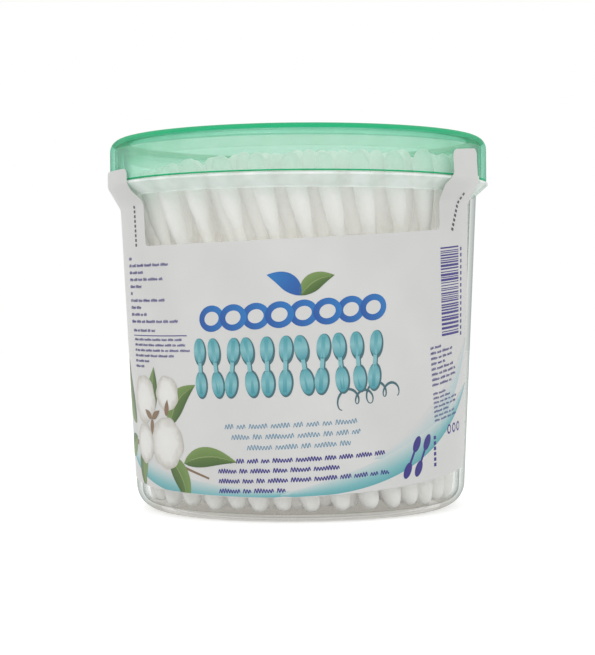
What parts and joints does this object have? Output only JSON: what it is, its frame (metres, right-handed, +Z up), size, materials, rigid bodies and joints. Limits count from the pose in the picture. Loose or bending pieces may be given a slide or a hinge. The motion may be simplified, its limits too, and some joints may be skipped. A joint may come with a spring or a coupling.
{
  "type": "cotton swab tub",
  "caption": "Round clear plastic tub of cotton swabs with a lift-off green lid and a wrap-around film label with seal tabs.",
  "frame": {"origin": "middle of the foot, at the level that the tub stands on", "axes": "+Z up, -Y is the front that the label faces, +X to the viewer's right"},
  "size_m": [0.0846, 0.0846, 0.0818],
  "materials": {
    "clear_plastic": "clear gloss moulding",
    "green_plastic": "translucent gloss moulding",
    "label_film": "satin printed film",
    "cotton": "soft wound cotton on a white paper stick"
  },
  "bodies": {
    "tub": {"tub": "clear_plastic", "label": "label_film", "swab_01": "cotton", "swab_02": "cotton", "swab_03": "cotton", "swab_04": "cotton", "swab_05": "cotton", "swab_06": "cotton", "swab_07": "cotton", "swab_08": "cotton", "swab_09": "cotton", "swab_10": "cotton", "swab_11": "cotton", "swab_12": "cotton", "swab_13": "cotton", "swab_14": "cotton", "swab_15": "cotton", "swab_16": "cotton", "swab_17": "cotton", "swab_18": "cotton", "swab_19": "cotton", "swab_20": "cotton", "swab_21": "cotton", "swab_22": "cotton", "swab_23": "cotton", "swab_24": "cotton", "swab_25": "cotton", "swab_26": "cotton", "swab_27": "cotton", "swab_28": "cotton", "swab_29": "cotton", "swab_30": "cotton", "swab_31": "cotton", "swab_32": "cotton", "swabs_ring_2": "cotton", "swabs_ring_3": "cotton", "swabs_ring_4": "cotton", "swabs_ring_5": "cotton", "swabs_ring_6": "cotton", "swabs_ring_7": "cotton"},
    "lid": {"lid": "green_plastic"}
  },
  "joints": [
    {"name": "lid_lift", "type": "slide", "parent": "tub", "child": "lid", "axis": [0, 0, 1], "range_m": [0, 0.045]}
  ]
}
